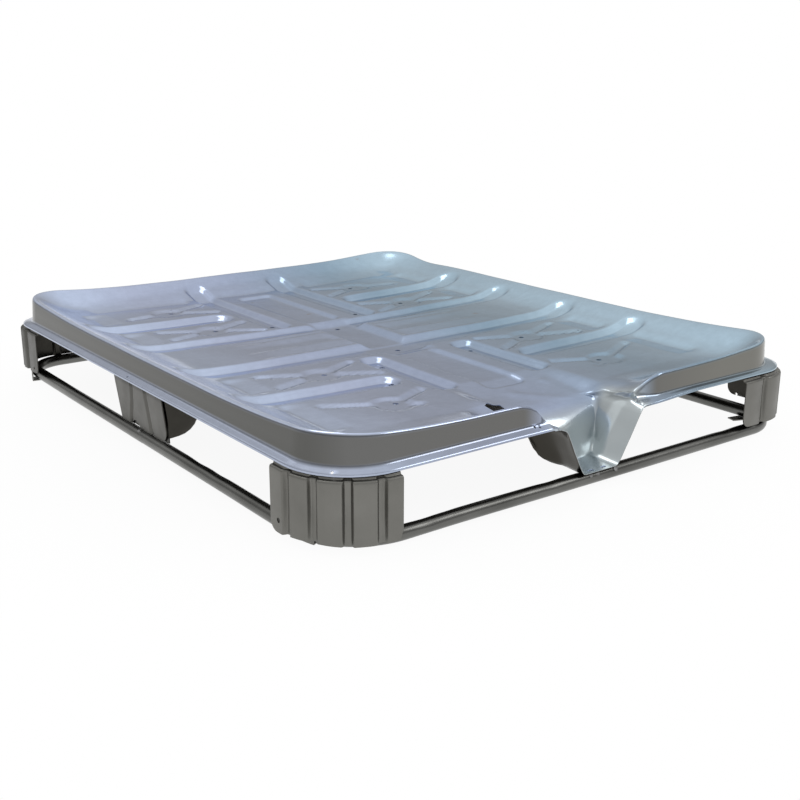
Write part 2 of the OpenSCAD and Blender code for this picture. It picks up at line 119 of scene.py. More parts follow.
# middle x, middle y, half length x, half length y, corner radius, wall width, depth
CHANNELS = [
    (0, BACK_CROSS_Y, 447, 24, 22, 14, 8.0),
    (0, FRONT_CROSS_Y, 447, 27, 24, 16, 10.0),
    (298, 302.5, 151, 27, 24, 14, 11.0),
    (298, -269, 151, 24, 21, 14, 10.0),
    (103.5, 357, 21, 194, 16, 13, 9.0),
    (103.5, -244, 21, 113, 14, 13, 9.5),
    (0, 318, 39, 142, 12, 10, 5.0),
    (0, -250, 39, 137, 12, 9, 5.0),
]


def rounded_box(x, y, half_x, half_y, radius):
    qx = np.abs(x) - (half_x - radius)
    qy = np.abs(y) - (half_y - radius)
    outside = np.hypot(np.maximum(qx, 0), np.maximum(qy, 0))
    return outside + np.minimum(np.maximum(qx, qy), 0) - radius


def drift(x):
    """How far the folds between the crossing channels swing back towards the middle: 16 mm at most."""
    return 16 * (1 - np.clip((np.abs(x) - 70) / 200, 0, 1))


def channel_depth(x, y):
    depth = np.zeros_like(x)
    for cx, cy, hx, hy, radius, wall, full in CHANNELS:
        dy = y - cy
        # the two crossing channels change their width with the folds between them
        if cy == BACK_CROSS_Y:
            dy = np.where(dy < 0, dy * 28 / (28 - 0.7 * drift(x)), dy)
        if cy == FRONT_CROSS_Y:
            dy = np.where(dy > 0, dy * 35 / (30 + drift(x)), dy)
        d = rounded_box(np.abs(x) - cx, dy, hx, hy, radius)
        depth = np.maximum(depth, full * (1 - soft(d, -wall / 2, wall / 2)))
    centre = CENTRE_DEPTH * (1 - soft(np.abs(x), 34, 54)) * soft(y, -150, -100) * (1 - soft(y, 136, 170))
    return np.maximum(depth, centre)


print("channels", len(CHANNELS), "deepest", max(channel[-1] for channel in CHANNELS), "mm")

# %% [markdown]
# Between the crossing channels the floor is folded like a saw: a short steep wall down, then a long
# slope up. Crosses stiffen the four corners: each is a flat hub with straight legs, pressed in a little.

# %% Saw-tooth folds and pressed crosses
FOLD_DEPTH = 2.8
# near edge, foot of the near wall, foot of the far slope, far edge; then how much each edge swings back
FOLDS = [(-41, -35, -33, 1, 1.0, 1.0), (4, 11, 44, 60, 1.15, 1.3), (67, 74, 76, 95, 1.2, 0.9)]


def fold_depth(x, y):
    across = np.zeros_like(y)
    swing = drift(x)
    for near, foot, far_foot, far, near_swing, far_swing in FOLDS:
        start, end = near + near_swing * swing, far + far_swing * swing
        down = soft(y, start - 1, start + foot - near)
        up = np.clip((end - y) / (far - far_foot + (far_swing - 0.5) * swing), 0, 1)
        across = np.maximum(across, np.minimum(down, up))
    along = soft(np.abs(x), 52, 70) * (1 - np.clip((np.abs(x) - 150) / 125, 0, 1) ** 1.5)
    return FOLD_DEPTH * across * along


HUB_X, HUB_R, LEG, EMBOSS = 236.0, 34.0, 9.0, 3.7
# middle y, then the ends of the legs as offsets
CROSSES = [
    (206.5, [(-104, 43), (98, 47), (-104, -35), (100, -42)]),
    (400.5, [(-100, -22), (98, 45), (102, -44)]),
    (-180.5, [(-106, 46), (98, 50), (-110, -38), (102, -46)]),
    (-383.5, [(-111, 50), (96, 46), (46, -26)]),
]


def cross_depth(x, y):
    px = HUB_X - np.abs(x)
    nearest = np.full_like(x, 1e3)
    for cy, legs in CROSSES:
        py = y - cy
        nearest = np.minimum(nearest, np.hypot(px, py) - HUB_R)
        for ex, ey in legs:
            along = np.clip((px * ex + py * ey) / (ex * ex + ey * ey), 0, 1 - LEG / math.hypot(ex, ey))
            nearest = np.minimum(nearest, np.hypot(px - along * ex, py - along * ey) - LEG)
    return EMBOSS * (1 - soft(nearest, -4.6, 0.4))


print("folds", len(FOLDS), "on each side, crosses", 2 * len(CROSSES))

# %% [markdown]
# No big pressing is flat. A real sheet carries long, shallow waves that bend its reflections. A few
# sine waves of different lengths, under half a millimetre high, are enough. Pads at the foot of the rim
# and a soft fold on the way to the trough are added the same way, as heights over the plan.

# %% Height of the tray's floor
TROUGH_FALL, RAMP_Y = 14.0, 350.0
# the pads: where they lie along the long sides and the back, where they start across, how deep they are
SIDE_PADS = ((-226, -130), (-450, -306), (166, 258), (350, 452))
BACK_PAD, PAD_X, SIDE_PAD_DEPTH, BACK_PAD_DEPTH = (146, 376), 352, 4.5, 3.5
# the fold across the way to the trough, the bump to its right and the raised place at the window
FOLD_FROM, FOLD_TO, BUMP_AT, RAISED_AT = (-20, -425), (45, -488), (66, -402), (-102, -456)


def waves(x, y):
    return (0.28 * np.sin(x / 61 + 1.1) * np.sin(y / 83 + 0.4)
            + 0.16 * np.sin(x / 29 - y / 47 + 2.0)
            + 0.10 * np.sin(x / 17 + y / 23))


def pad_depth(x, y):
    """Shallow pads at the foot of the rim, between the channels."""
    across = np.clip((np.abs(x) - PAD_X) / 44, 0, 1) * (1 - soft(np.abs(x), 397, 407))
    depth = np.zeros_like(x)
    for y0, y1 in SIDE_PADS:
        here = soft(y, y0 - 4, y0 + 6) * (1 - soft(y, y1 - 14, y1 + 4))
        depth = np.maximum(depth, SIDE_PAD_DEPTH * across * here)
    x0, x1 = BACK_PAD
    back = soft(y, 468, 478) * (1 - np.clip((y - 480) / 40, 0, 1))
    along = soft(np.abs(x), x0, x0 + 14) * (1 - soft(np.abs(x), x1 - 16, x1))
    return np.maximum(depth, BACK_PAD_DEPTH * back * along)


def pressed_depth(x, y):
    return np.maximum.reduce([channel_depth(x, y), fold_depth(x, y), cross_depth(x, y), pad_depth(x, y)])


def hump(x, y):
    """Height of the soft fold, the small bump and the raised place, each fading like a bell."""
    along = np.clip((x - FOLD_FROM[0]) / 75, 0, 1)
    fold_x, fold_y = (mix(start, end, along) for start, end in zip(FOLD_FROM, FOLD_TO))
    from_fold = np.hypot(x - fold_x, (y - fold_y) * 0.8)
    from_bump = np.hypot(x - BUMP_AT[0], y - BUMP_AT[1])
    from_raised = np.hypot((x - RAISED_AT[0]) / 1.3, y - RAISED_AT[1])
    return (1.5 * np.exp(-(from_fold / 11) ** 2) + 1.3 * np.exp(-(from_bump / 9) ** 2)
            + 4.0 * np.exp(-(from_raised / 26) ** 2))


def floor_height(x, y):
    base = FLOOR_Z + DISH * np.minimum(1, np.hypot(x, 25) / FLOOR_X) + hump(x, y)
    ramp = np.clip((-y - RAMP_Y) / (FLOOR_FRONT - RAMP_Y), 0, 1) * (1 - soft(np.abs(x), 86, 122))
    return base - pressed_depth(x, y) - TROUGH_FALL * ramp + waves(x, y)


print("floor's height at the middle", round(float(floor_height(np.zeros(1), np.zeros(1))[0]), 1), "mm")

# %% [markdown]
# The grid that carries this height is finer where a wall or an end falls, and coarser on flat floor,
# so the pressing keeps crisp channels without wasting faces.

# %% Lines of the floor's grid
def graded(start, end, busy, coarse, fine):
    lines = [start]
    while lines[-1] < end:
        here = lines[-1]
        step = fine if any(a - 6 < here < b + 3 for a, b in busy) else coarse
        lines.append(min(here + step, end))
    if lines[-1] - lines[-2] < 0.4 * coarse:
        lines.pop(-2)
    return np.array(lines)


half_x = graded(0, FLOOR_X, [(33, 55), (74, 91), (117, 156), (350, 360)], 6.4, 3.6)
grid_x = np.concatenate([-half_x[:0:-1], half_x])
grid_y = graded(-FLOOR_FRONT, FLOOR_BACK, [
    (-396, -346), (-302, -284), (-254, -236), (-140, -90), (-58, -14), (0, 32), (64, 110),
    (136, 178), (266, 284), (322, 340), (454, 484)], 6.6, 3.6)
nx, ny = len(grid_x), len(grid_y)
gx, gy = np.meshgrid(grid_x, grid_y)
floor_points = np.stack([gx, gy, floor_height(gx, gy)], axis=-1)
print("floor grid", nx, "x", ny)

# %% [markdown]
# Round the floor the sheet climbs to a rim, folds over it and drops to a sloping flange with a small
# lip. Ten outlines hold that profile. Each is a rectangle with rounded corners at its own height, and a
# smooth curve is run through all ten at every place round the tray.

# %% Outlines of the rim
DECK_X, DECK_Y, CORNER_RISE = 496.0, 594.0, 19.0
# inset on the long sides, inset on the ends, height, corner radius, share of the channels, share of
# the corners' rise
OUTLINES = np.array([
    (104, 76, 131, 26, 1.00, 0.10),
    (71, 52, 138.5, 44, 0.85, 0.30),
    (43, 31, 149, 64, 0.45, 0.75),
    (26, 21, 154.5, 78, 0.00, 1.00),
    (20, 17, 156, 84, 0.00, 1.00),
    (15.5, 14, 153, 88, 0.00, 1.00),
    (11.5, 11.5, 123.5, 91, 0.00, 0.00),
    (10, 10, 120.5, 92.5, 0.00, 0.00),
    (0, 0, 114, 110, 0.00, 0.00),
    (0, 0, 111.5, 110, 0.00, 0.00),
])
CREST = 6
# how far along the profile each outline is, then where the mesh has its rows
PROFILE_AT = np.array([0, 32, 66, 96, 114, 120.2, 125.6, 155.4, 158.8, 170.7, 174.7])
ROWS = np.array([9, 18, 26, 34, 43, 52, 61, 70, 78, 86, 93, 100, 107, 112, 116.5, 119.5, 121.8, 124, 126.4,
                 130, 142, 153, 156.2, 158.4, 161, 166, 169.8, 171, 172.6, 174.7])
ARC = 11


def corner(i, j, start):
    return [(i, j, start + 90 * s / ARC, 4) for s in range(1, ARC)]


# every station round the tray: the grid's column and line, the angle in a corner, the side (4 is a corner)
sides = [(i, 0, -1, 0) for i in range(nx)] + corner(nx - 1, 0, 270)
sides += [(nx - 1, j, -1, 1) for j in range(ny)] + corner(nx - 1, ny - 1, 0)
sides += [(i, ny - 1, -1, 2) for i in range(nx - 1, -1, -1)] + corner(0, ny - 1, 90)
sides += [(0, j, -1, 3) for j in range(ny - 1, -1, -1)] + corner(0, 0, 180)
column, line, angle, side = (np.array(v) for v in zip(*sides))
edge_x, edge_y = grid_x[column], grid_y[line]
stations = len(sides)


def stretched(v, start, edge, limit):
    beyond = np.clip(np.abs(v) - start, 0, None)
    return np.sign(v) * (np.minimum(np.abs(v), start) + beyond * (limit - start) / (edge - start))


# how much squarer the lip's corners are than the near one: front right, back left, back right
SQUARER = np.select([(edge_x > 0) & (edge_y < 0), (edge_x < 0) & (edge_y > 0), edge_x > 0], [34, 32, 20], 0)


def plain_outline(inset_x, inset_y, radius):
    a, b = DECK_X - inset_x, DECK_Y - inset_y
    radius = radius - SQUARER * (radius > 100)
    x = stretched(edge_x, 275, FLOOR_X, a - radius)
    y = np.where(edge_y > 0, stretched(edge_y, 400, FLOOR_BACK, b - radius),
                 stretched(edge_y, 400, FLOOR_FRONT, b - radius))
    turn = np.radians(angle)
    x = np.select([side == 1, side == 3, side == 4],
                  [a, -a, np.sign(edge_x) * (a - radius) + radius * np.cos(turn)], x)
    y = np.select([side == 0, side == 2, side == 4],
                  [-b, b, np.sign(edge_y) * (b - radius) + radius * np.sin(turn)], y)
    return x, y


def smooth_curve(at, values, where):
    """A cubic through values (first axis) at the places `at`, sampled at `where`, that never overshoots."""
    gaps = np.diff(at)
    shape = (-1,) + (1,) * (values.ndim - 1)
    slopes = np.diff(values, axis=0) / gaps.reshape(shape)
    tangents = np.zeros_like(values)
    w1 = (2 * gaps[1:] + gaps[:-1]).reshape(shape)
    w2 = (gaps[1:] + 2 * gaps[:-1]).reshape(shape)
    with np.errstate(divide="ignore", invalid="ignore"):
        inner = (w1 + w2) / (w1 / slopes[:-1] + w2 / slopes[1:])
    tangents[1:-1] = np.where(slopes[:-1] * slopes[1:] > 0, inner, 0)
    tangents[0], tangents[-1] = slopes[0], slopes[-1]
    k = np.clip(np.searchsorted(at, where, side="right") - 1, 0, len(at) - 2)
    t = ((where - at[k]) / gaps[k]).reshape(shape)
    g = gaps[k].reshape(t.shape)
    return ((1 + 2 * t) * (1 - t) ** 2 * values[k] + t * (1 - t) ** 2 * g * tangents[k]
            + t * t * (3 - 2 * t) * values[k + 1] + t * t * (t - 1) * g * tangents[k + 1])


print("outlines", len(OUTLINES), "stations round the tray", stations)

# %% [markdown]
# At the spout side the rim opens. Between two swept crests the sheet dives over the tube and ends in a
# flat tongue welded on it. The trough is drawn by a table of heights for its middle, and by how its
# walls and shoulders stand beside it.

# %% The drain trough in the rim
TROUGH_BACK = 499.0
FLANGE_Z, SHOULDER_Z = 114.0, 105.0
# for each outline: how far in front of the back wall, height of the bottom, half width of the bottom,
# and half widths at the shoulders, left and right
TROUGH = np.array([
    (-11, 103, 80, 88, 88), (-1.5, 93, 78, 88, 88), (2.5, 76, 75, 87, 88), (6, 57, 71, 84, 88),
    (13, 42, 63, 80, 88), (31, 31.5, 48, 76, 87), (60, 28.4, 38, 74, 85), (80, 27.5, 38, 75, 84),
    (95, 27.2, 38, 78, 84), (97, 27.2, 38, 78, 84)])
# the grid's lines across the front, where those widths apply: the trough ends at TROUGH_END
COLUMNS = np.array([0, 44, 60, 76, 89, 118, 131, 141, 155, 275.0])
TROUGH_END, SWEEP_END = 118, 155.5
# how much of the right crest's sweep each outline takes
SWING = (0, 0.15, 0.4, 0.7, 0.8, 0.9, 0.8, 0.6, 0.1, 0)
# how far the middle of the back wall leans out of each outline, so the bowl opens towards the light
LEAN = (0, 5, 14, 19, 19, 13, 5, 0, 0, 0)


def trough_outline(k, plain_x, plain_y, plain_z):
    w, right = np.abs(edge_x), edge_x > 0
    ahead, bottom, low, left_high, right_high = TROUGH[k]
    found = []
    for high, shift, end, beyond in ((left_high, -8, 95, (117, 134)), (right_high, 8, 104, (122, 136))):
        found.append(smooth_curve(COLUMNS, np.array([
            shift, low + shift, mix(low, high, 0.5) + shift, high + shift, mix(high + shift, end, 0.5), end,
            *beyond, 152, 275.0]), w))
    x = np.where(right, found[1], -found[0])
    height = smooth_curve(np.array([0, 40, 60, 76, 89, 118.0]), np.array([
        bottom, bottom, mix(bottom, SHOULDER_Z, 0.5), SHOULDER_Z, FLANGE_Z - 3, FLANGE_Z]),
        np.minimum(w, TROUGH_END))
    swept = 4 * math.exp(-((ahead - 62) / 22) ** 2) * np.exp(-((w - 96) / 22) ** 2)
    height = height + np.where(right, swept, 0)
    crest = np.where(right, np.interp(w, COLUMNS[5:9], [0.4, 0.69, 0.88, 1]),
                     np.interp(w, COLUMNS[5:9], [0, 0.68, 0.9, 1]))
    if k < CREST:
        height = height + np.where(right, 0.4 * (plain_z - FLANGE_Z) * soft(w, 76, TROUGH_END), 0)
    inside = 1 - np.clip((w - 76) / 42, 0, 1)
    y = mix(plain_y, -TROUGH_BACK - ahead - LEAN[k] * (1 - soft(np.abs(edge_x + 8), 4, 78)), inside)
    y = y + np.where(right, 10 * soft(w, 80, 112) * (1 - soft(w, 116, 152)) * SWING[k], 0)
    beside = mix(FLANGE_Z, plain_z, crest) if k < CREST else plain_z
    lip_fall = 4 * (1 - inside) if k == len(OUTLINES) - 1 else 0
    z = np.where(w < TROUGH_END, height - lip_fall, beside)
    here = (side == 0) & (w < SWEEP_END)
    return np.where(here, x, plain_x), np.where(here, y, plain_y), np.where(here, z, plain_z)


print("trough's depth below the flange", FLANGE_Z - TROUGH[:, 1].min(), "mm")

# %% [markdown]
# The rows of the rim follow those outlines. The channels run on up the slope, end there in round spoons,
# and the rim stands a little higher towards the four corners, where the drawn sheet bulges.

# %% Rows of the rim
# dip of the crest at the far corner and where, and how far the lip was pushed up at the front right
FAR_DIP, FAR_DIP_Y, LIP_PUSH = 7, 440, 4.5
# middle and height of the low place behind the left crest
LOW_X, LOW_Z = -118, 118.0
control = np.zeros((len(OUTLINES) + 1, stations, 5))
control[0, :, 0], control[0, :, 1] = edge_x, edge_y
control[0, :, 2] = floor_height(edge_x, edge_y) + pressed_depth(edge_x, edge_y)
control[0, :, 3] = 1
for k, (inset_x, inset_y, z, radius, pressed, rise) in enumerate(OUTLINES):
    x, y = plain_outline(inset_x, inset_y, radius)
    x, y, z = trough_outline(k, x, y, np.full(stations, z))
    control[k + 1] = np.stack([x, y, z, np.full(stations, pressed), np.full(stations, rise)], axis=-1)
rim = smooth_curve(PROFILE_AT, control, ROWS)
# these names are views of the rim, so changing one of them changes the rim
rim_x, rim_y, rim_z, pressed_share, rise_share = np.moveaxis(rim, -1, 0)
in_trough = (side == 0) & (np.abs(edge_x) < TROUGH_END)
rise = CORNER_RISE * (np.abs(rim_x * rim_y) / (DECK_X * DECK_Y) * 1.07) ** 4
rim_z += rise_share * rise - pressed_share * pressed_depth(rim_x, rim_y) * ~in_trough
far_share = np.exp(-((rim_y - FAR_DIP_Y) / 75) ** 2) * (rim_x > 380)
rim_z -= FAR_DIP * rise_share * far_share
lip = np.interp(ROWS, [156, 166], [0, 1])[:, None]
rim_z += LIP_PUSH * lip * soft(rim_x, 120, 240) * (1 - soft(rim_y, -560, -420))
# behind the left crest the rim stays low, so the bowl opens sideways too
forward = -rim_y
low_place = 1 - soft(np.abs(rim_x - LOW_X), 22, 66)
low_place = low_place * soft(forward, 440, 480) * (1 - soft(forward, 538, 568))
low_height = np.minimum(rim_z, LOW_Z + 0.1 * np.clip(forward - 500, 0, None))
rim_z[...] = mix(rim_z, low_height, 0.92 * low_place)
# beads up the corner between the trough's back and right walls, and from the crest down the right wall:
# corners, direction in which they stand out, height, half width
BEADS = [
    ([(101, -500, 112), (97, -505, 98), (90, -506, 78), (84, -505, 61), (76, -504, 45), (66, -508, 32)],
     (-0.62, -0.72, 0.3), 4.0, 13.0),
    ([(105, -563, 131), (88, -563, 120), (82, -562, 106), (70, -557, 75), (58, -552, 42)],
     (-0.9, -0.2, 0.38), 1.5, 10.0),
]


def distance_to_line(points, corners):
    nearest = np.full(points.shape[:-1], 1e6)
    for a, b in zip(np.array(corners[:-1], float), np.array(corners[1:], float)):
        share = np.clip(((points - a) @ (b - a)) / ((b - a) @ (b - a)), 0, 1)
        nearest = np.minimum(nearest, np.linalg.norm(points - a - share[..., None] * (b - a), axis=-1))
    return nearest


spots = rim[..., :3].copy()
for corners, direction, height, half in BEADS:
    away = distance_to_line(spots, corners)
    rim[..., :3] += (height * np.exp(-(away / half) ** 2))[..., None] * np.array(direction)
wavy = np.where(ROWS < 126, 1, 0.3)[:, None]
rim_z += wavy * waves(rim_x, rim_y) * np.clip(ROWS[:, None] / 20, 0, 1)
print("rim", len(ROWS), "rows of", stations, "stations")


# %% [markdown]
# The same points, moved square to the surface by the sheet's thickness, make its lower side. A closed
# skin between the two is a real sheet, with an edge that the light can catch.

# %% The closed sheet
def grid_faces(ids):
    """The faces of a grid, from its points' numbers in rows."""
    return np.stack([ids[:-1, :-1], ids[:-1, 1:], ids[1:, 1:], ids[1:, :-1]], axis=-1).reshape(-1, 4)


def numbered(rows, cols):
    return np.arange(rows * cols).reshape(rows, cols)


def rim_faces():
    first = line * nx + column
    rows = [first] + [nx * ny + r * stations + np.arange(stations) for r in range(len(ROWS))]
    found = []
    for inner, outer in zip(rows[:-1], rows[1:]):
        nxt_in, nxt_out = np.roll(inner, -1), np.roll(outer, -1)
        found.append(np.stack([inner, outer, nxt_out, nxt_in], axis=-1))
    found = np.concatenate(found)
    found[found[:, 0] == found[:, 3], 3] = -1
    return found, rows[-1]


def point_normals(points, faces):
    """The mean normal at each point. A triangle counts as a quad that ends where it starts."""
    a, b, c = points[faces[:, 0]], points[faces[:, 1]], points[faces[:, 2]]
    d = points[np.where(faces[:, 3] < 0, faces[:, 0], faces[:, 3])]
    face_normal = np.cross(c - a, d - b)
    total = np.zeros_like(points)
    for k in range(4):
        used = faces[:, k] >= 0
        np.add.at(total, faces[used, k], face_normal[used])
    return total / np.linalg.norm(total, axis=1, keepdims=True)


def store_layer(piece, name, values):
    """Keeps a value for each point with the mesh, for the finish to read."""
    layer = piece.data.attributes.new(name, "FLOAT", "POINT")
    layer.data.foreach_set("value", values.astype(np.float32))


SHEET = 1.2
top_points = np.concatenate([floor_points.reshape(-1, 3), rim[..., :3].reshape(-1, 3)])
round_faces, last_row = rim_faces()
top_faces = np.concatenate([grid_faces(numbered(ny, nx)), round_faces])
normals = point_normals(top_points, top_faces)
low_points = top_points - SHEET * normals
count = len(top_points)
low_faces = np.where(top_faces[:, 3:] < 0,
                     np.concatenate([top_faces[:, 2::-1], top_faces[:, 3:]], axis=1), top_faces[:, ::-1])
low_faces = np.where(low_faces < 0, -1, low_faces + count)
edge_next = np.roll(last_row, -1)
edge_faces = np.stack([last_row, last_row + count, edge_next + count, edge_next], axis=-1)
deck = mesh_piece("deck_pressing", np.concatenate([top_points, low_points]),
                  np.concatenate([top_faces, low_faces, edge_faces]), smooth_angle=55)

# layers for the finish: the outer wall and the lower side get painted shade, the trough a painted highlight
clear = np.where(side == 0, soft(np.abs(edge_x), 112, 150), 1)
wall_share = np.concatenate([np.zeros(nx * ny), np.outer(
    np.interp(ROWS, [123, 127, 153, 160], [0, 1, 1, 0.35]), clear).ravel()])
# where the trough's bowl gets a painted highlight
trough_highlight_share = (1 - soft(np.abs(top_points[:, 0] - 10), 85, 125)) * (1 - soft(top_points[:, 1], -518, -486))
store_layer(deck, "outer_wall", np.tile(wall_share, 2))
store_layer(deck, "underside", np.repeat([0, 1], count))
store_layer(deck, "trough", np.tile(trough_highlight_share, 2))
print("deck faces", len(deck.data.polygons), "mean normal up", round(float(normals[:, 2].mean()), 2))

# %% [markdown]
# The sheet is pierced after drawing: one hole in each cross, a few in the middle panel, small ones in
# the flange, a five-sided window by the trough, and two small slots in the tongue.

# %% Holes in the deck
HUB_HOLES = [(s * 226, y) for s in (-1, 1) for y in (213, 407, -174, -377)]
MIDDLE_HOLES = [(s * 101.5, y) for s in (-1, 1) for y in (207, -170)] + [(0, 122), (0, -80), (-155, -269)]
FIXING_HOLES = HUB_HOLES + MIDDLE_HOLES
TROUGH_HOLE = (-67, -501)
FLANGE_HOLES = [(-126, -584), (-117, -586), (-491, 29), (-464, -557)]
WINDOW = [(-118, -488), (-83, -486), (-79, -455), (-99, -454), (-127, -472)]
SLOT_X, SLOT_Y, SLOT_APART, SLOT_HALF = 8, -588, 14, 3
UPRIGHT = (0, 0, 1)
# the punch leaves a short collar under each hole
collars = [(x, y, float(floor_height(np.array(float(x)), np.array(float(y))))) for x, y in FIXING_HOLES]
cut(deck, drill("collars", [((x, y, z - 2.4), UPRIGHT, 11, 3.6) for x, y, z in collars]), "UNION")
cut(deck, drill("fixing_drill", [((x, y, 115), UPRIGHT, 9, 60) for x, y in FIXING_HOLES + [TROUGH_HOLE]]))
cut(deck, drill("flange_drill", [((x, y, 114), UPRIGHT, 4.5, 20) for x, y in FLANGE_HOLES]))
# each slot of the tongue is three drills in a row, the middle one a little wider
for step in (-SLOT_HALF, 0, SLOT_HALF):
    cut(deck, drill("tongue_drill", [
        ((SLOT_X + s * SLOT_APART + step, SLOT_Y, 28), UPRIGHT, 4 + (step == 0), 12) for s in (-1, 1)]))
low, high = [(x, y, 90.0) for x, y in WINDOW], [(x, y, 150.0) for x, y in WINDOW]
punch = mesh_piece("window_punch", high + low, [(0, 1, 2, 3, 4), (9, 8, 7, 6, 5)] + [
    (k, k + 5, (k + 1) % 5 + 5, (k + 1) % 5) for k in range(5)])
cut(deck, punch)
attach(deck, "root")
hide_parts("deck")
print("deck faces with its holes", len(deck.data.polygons))

# %% [markdown]
# Four corner feet carry the tray. Each is a thin sheet bent round the corner, with four pressed grooves
# that stiffen it like corrugated card, and a rolled upper edge under the tray's lip. One profile from
# the lower edge to the shelf is carried round the corner, and the grooves push it in.

# %% Corner feet
FOOT_X, FOOT_Y, FOOT_SHEET, SIDE_WING = 500.0, 600.0, 2.0, 145.0
ROUND_R, SQUARE_R = 118.0, 100.0
# grooves in degrees round a round corner and round a squarer one, which has one more in each wing
ROUND_GROOVES, SQUARE_GROOVES, WING_GROOVE = (6, 28.5, 53, 76.5), (14, 60), 18
GROOVE_HALF, FOOT_GROOVE, WING_R = 3.8, 7.4, 16.0
# how far each line of the mesh stands from a wing's end
WING_STEPS = np.array([0, 0.4, 1.2, 2.6, 4.4, 6.6, 9, 12, 16])
# inset from the outer face and height, from the lower edge to the shelf under the tray
FOOT_PROFILE = np.array([
    (0, 9), (0, 17), (0, 26), (0, 36), (0, 50), (0, 70), (0, 90), (0, 99), (0.1, 102.6), (0.7, 104.6),
    (1.9, 105.7), (3.6, 106.1), (5.6, 106.2), (6.6, 106.8), (7.0, 108), (7.4, 109.3), (8.6, 109.9),
    (15, 110)])


def sheet_piece(name, grid, thickness, smooth_angle=38):
    """A closed sheet from a grid of points of its outer face, thickened towards the other side."""
    rows, cols = grid.shape[:2]
    index = numbered(rows, cols)
    quads = grid_faces(index)
    outer = grid.reshape(-1, 3)
    inner = outer - thickness * point_normals(outer, quads)
    total = rows * cols
    loop = np.concatenate([index[0, :-1], index[:-1, -1], index[-1, :0:-1], index[:0:-1, 0]])
    after = np.roll(loop, -1)
    rim_quads = np.stack([after, loop, loop + total, after + total], axis=-1)
    piece = mesh_piece(name, np.concatenate([outer, inner]),
                       np.concatenate([quads, quads[:, ::-1] + total, rim_quads]), smooth_angle)
    store_layer(piece, "underside", np.repeat([0, 1], total))
    return piece


def foot_grid(side_end, long_end, radius, low_edge):
    wide, square = ROUND_R / radius, radius <= SQUARE_R
    grooves = SQUARE_GROOVES if square else ROUND_GROOVES
    extra = -WING_GROOVE + np.linspace(-9, 9, 19) if square else np.array([])
    along_side = np.unique(np.concatenate([WING_STEPS - side_end, extra]))
    arc = np.unique(np.round(np.concatenate(
        [np.arange(0, 90.1, 2.5)] + [g + wide * np.linspace(-5, 5, 17) for g in grooves]), 3))
    arc = arc[(arc >= 0) & (arc <= 90)]
    along_end = np.unique(np.concatenate([WING_STEPS - long_end, extra]))[::-1]
    along_side, along_end = along_side[along_side < -1], along_end[along_end < -1]
    groove = np.zeros(len(arc))
    for g in grooves:
        groove = np.maximum(groove, 1 - soft(np.abs(arc - g) / wide, GROOVE_HALF - 1.9, GROOVE_HALF + 0.5))
    turn, n_side, n_end = np.radians(arc), len(along_side), len(along_end)
    circle = np.stack([np.cos(turn), np.sin(turn)], -1)
    normal = np.concatenate([np.tile([1.0, 0], (n_side, 1)), circle, np.tile([0.0, 1], (n_end, 1))])
    base = np.concatenate([np.stack([np.full(n_side, radius), along_side], -1), radius * circle,
                           np.stack([along_end, np.full(n_end, radius)], -1)])
    in_wing = [(1 - soft(np.abs(v + WING_GROOVE), 3.9, 8.9)) * square for v in (along_side, along_end)]
    depth = np.concatenate([in_wing[0], groove, in_wing[1]])
    away = np.concatenate([along_side + side_end, np.full(len(arc), 99), along_end + long_end])
    near = np.clip(WING_R - away, 0, None)
    lifted = WING_R - np.sqrt(np.clip(WING_R ** 2 - near ** 2, 0, None))
    at = np.concatenate([np.zeros(n_side), arc, np.full(n_end, 90.0)])
    low = np.interp(at, *low_edge) + lifted
    rows = []
    for inset, z in FOOT_PROFILE:
        height = low + (z - 9) * (99 - low) / 90 if z < 99 else np.full(len(depth), z)
        fade = np.interp(z, [0, 28, 46, 97, 106, 110], [0.84, 0.84, 1, 1, 0.75, 0.15])
        inward = inset + FOOT_GROOVE * depth * fade
        spot = base - normal * inward[:, None]
        rows.append(np.concatenate([spot, height[:, None]], axis=1))
    return np.array(rows)


def corner_foot(name, sx, sy, end_wing, radius, low_edge, raised=0.0):
    grid = foot_grid(SIDE_WING - radius, end_wing - radius, radius, low_edge)
    grid[..., 2] += raised * np.interp(grid[..., 2], [60, 106], [0, 1])
    grid[..., 0] = sx * (grid[..., 0] + FOOT_X - radius)
    grid[..., 1] = sy * (grid[..., 1] + FOOT_Y - radius)
    if sx * sy < 0:
        grid = grid[:, ::-1]
    foot = sheet_piece(name + "_pressing", grid, FOOT_SHEET)
    hole_z, hole_d = (34, 5.5) if radius <= SQUARE_R else (30, 8)
    hole_at = (sx * (FOOT_X - 1), sy * (FOOT_Y - 124), hole_z)
    cut(foot, drill("foot_drill", [(hole_at, (1, 0, 0), hole_d, 30)]))
    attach(foot, "root")
    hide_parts(name)
    return foot


# the lower edge, as degrees round the corner and heights: worn and bent differently at each foot
corner_feet = [
    corner_foot("corner_foot_front_left", -1, -1, 122, ROUND_R,
                ([0, 10, 28, 40, 55, 70, 90], [11, 14, 15, 13.5, 12.5, 13, 15])),
    corner_foot("corner_foot_front_right", 1, -1, 146, 75.0, ([0, 30, 60, 90], [32, 30, 29, 28]), 3.5),
    corner_foot("corner_foot_back_left", -1, 1, 146, 75.0, ([0, 30, 60, 90], [25, 23, 20, 22])),
    corner_foot("corner_foot_back_right", 1, 1, 146, 90.0, ([0, 90], [10, 10]))]
print("corner foot faces", [len(f.data.polygons) for f in corner_feet])

# %% [markdown]
# One bent tube joins the feet and slides on the floor. It was bent cold, so it is never quite straight,
# and forks have dented it. The dents are shallow bumps taken out of the tube's radius.

# %% Skid ring
RING_X, RING_Y, TUBE_Z, TUBE_R = 479.0, 583.0, 14.0, 11.2
BENDS = (75.0, 75.0, 115.0, 75.0)
